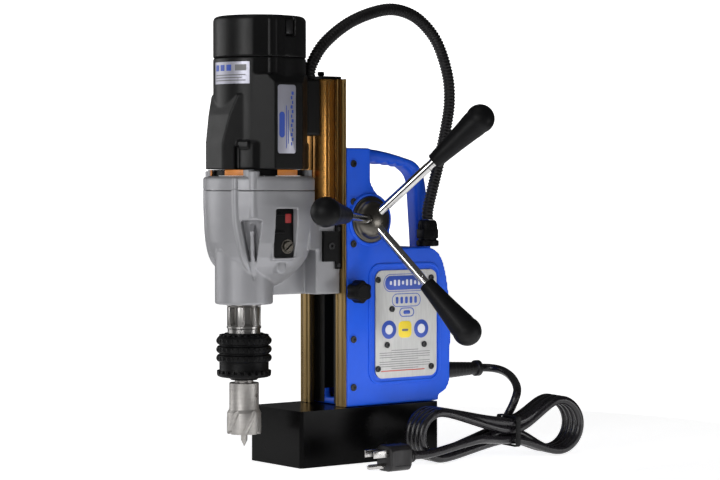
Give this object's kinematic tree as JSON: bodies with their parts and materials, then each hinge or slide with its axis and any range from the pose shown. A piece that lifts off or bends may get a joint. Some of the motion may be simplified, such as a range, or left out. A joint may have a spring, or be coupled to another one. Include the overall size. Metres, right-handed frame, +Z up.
{
  "type": "magnetic drill press",
  "caption": "Portable magnetic drill press: electromagnet base, rack-fed carriage with motor, gearbox and annular cutter, capstan feed, carrying handle and mains lead.",
  "frame": {"origin": "centre of the electromagnet's lower face", "axes": "+Z up along the column, +Y towards the carrying handle and mains lead, -Y towards the cutter, +X towards the capstan"},
  "size_m": [0.1807, 0.3401, 0.4249],
  "materials": {
    "painted_casting": "glossy blue paint",
    "grey_casting": "satin silver-grey paint",
    "magnet_paint": "glossy black paint",
    "copper_winding": "enamelled copper wire",
    "potting_resin": "matte cast resin",
    "anodised_rail": "bright gold anodising",
    "slide_metal": "bright gold anodising",
    "steel": "machined",
    "bright_steel": "polished chrome plate",
    "black_plastic": "fine matte texture",
    "black_rubber": "satin",
    "copper_and_iron": "laminations and lacquered windings",
    "bearing_bronze": "machined",
    "plate_aluminium": "brushed",
    "board": "solder resist",
    "orange_baffle": "matte",
    "red_plastic": "glossy",
    "green_plastic": "glossy"
  },
  "bodies": {
    "frame": {"magnet_yoke": "magnet_paint", "magnet_coil": "copper_winding", "magnet_potting": "potting_resin", "housing_body": "painted_casting", "housing_cover": "painted_casting", "nameplate": "plate_aluminium", "pinion_bush": "bearing_bronze", "control_board": "board", "rail_right": "anodised_rail", "rail_left": "anodised_rail", "control_panel": "black_plastic", "conduit_gland": "black_plastic", "motor_conduit": "black_plastic", "strain_relief": "black_rubber", "power_cord": "black_rubber", "cord_hank": "black_rubber", "cord_tie": "black_plastic", "plug_lead": "black_rubber", "plug_body": "black_rubber", "plug_blade_1": "bright_steel", "plug_blade_2": "bright_steel", "plug_earth_pin": "bright_steel"},
    "carriage": {"slide_bar": "slide_metal", "feed_rack": "steel", "slide_cap": "black_plastic", "clamp_block": "black_plastic", "gearbox_housing": "grey_casting", "gearbox_cover": "grey_casting", "selector_plate": "black_plastic", "fan_baffle": "orange_baffle", "motor_housing": "black_plastic", "motor_cap": "black_plastic", "stator": "copper_and_iron", "carbon_brush_left": "black_plastic", "carbon_brush_right": "black_plastic", "spindle_bearing": "steel"},
    "selector": {"speed_selector": "steel"},
    "spindle": {"spindle_shaft": "steel", "spindle_gear": "steel", "arbor": "steel", "annular_cutter": "steel"},
    "collar": {"release_collar": "black_plastic"},
    "pin": {"pilot_pin": "steel"},
    "rotor": {"armature": "copper_and_iron", "motor_pinion": "steel", "cooling_fan": "black_plastic"},
    "idler": {"idler_gear": "steel"},
    "capstan": {"pinion_shaft": "steel", "capstan_hub": "bright_steel", "arm_1": "bright_steel", "arm_2": "bright_steel", "arm_3": "bright_steel", "grip_1": "black_plastic", "grip_2": "black_plastic", "grip_3": "black_plastic"},
    "lock": {"lock_knob": "black_plastic"},
    "magnet_rocker": {"magnet_switch": "red_plastic"},
    "start": {"start_button": "green_plastic"},
    "stop": {"stop_button": "red_plastic"}
  },
  "joints": [
    {"name": "feed_slide", "type": "slide", "parent": "frame", "child": "carriage", "axis": [0, 0, 1], "range_m": [-0.095, 0.055], "deforming": ["motor_conduit"]},
    {"name": "capstan_turn", "type": "hinge", "parent": "frame", "child": "capstan", "pos_m": [0.038, 0.0015, 0.2235], "axis": [1, 0, 0], "range_deg": [-235, 405]},
    {"name": "spindle_spin", "type": "hinge", "parent": "carriage", "child": "spindle", "pos_m": [0, -0.1145, 0.1], "axis": [0, 0, 1], "continuous": true},
    {"name": "idler_spin", "type": "hinge", "parent": "carriage", "child": "idler", "pos_m": [0.02012, -0.09967, 0.22], "axis": [0, 0, 1], "continuous": true},
    {"name": "motor_spin", "type": "hinge", "parent": "carriage", "child": "rotor", "pos_m": [0, -0.097, 0.32], "axis": [0, 0, 1], "continuous": true},
    {"name": "collar_slide", "type": "slide", "parent": "spindle", "child": "collar", "axis": [0, 0, 1], "range_m": [0, 0.006], "stiffness_N_per_m": 1500, "springref_m": -0.006},
    {"name": "pilot_pin_slide", "type": "slide", "parent": "spindle", "child": "pin", "axis": [0, 0, 1], "range_m": [0, 0.025], "stiffness_N_per_m": 300, "springref_m": -0.01},
    {"name": "lock_knob_turn", "type": "hinge", "parent": "frame", "child": "lock", "pos_m": [0.045, -0.0185, 0.158], "axis": [1, 0, 0], "range_deg": [0, 270]},
    {"name": "speed_selector_turn", "type": "hinge", "parent": "carriage", "child": "selector", "pos_m": [0.042, -0.0963, 0.2005], "axis": [1, 0, 0], "range_deg": [0, 90]},
    {"name": "magnet_switch_rock", "type": "hinge", "parent": "frame", "child": "magnet_rocker", "pos_m": [-0.0373, 0.048, 0.148], "axis": [0, 0, 1], "range_deg": [0, 14]},
    {"name": "start_button_press", "type": "slide", "parent": "frame", "child": "start", "axis": [1, 0, 0], "range_m": [0, 0.002], "stiffness_N_per_m": 500, "springref_m": -0.002},
    {"name": "stop_button_press", "type": "slide", "parent": "frame", "child": "stop", "axis": [1, 0, 0], "range_m": [0, 0.002], "stiffness_N_per_m": 500, "springref_m": -0.002}
  ],
  "couplings": [
    {"joint": "capstan_turn", "follows": "feed_slide", "rad_per_m": -74.074},
    {"joint": "idler_spin", "follows": "spindle_spin", "ratio": -3.1667},
    {"joint": "motor_spin", "follows": "spindle_spin", "ratio": 12.139}
  ]
}
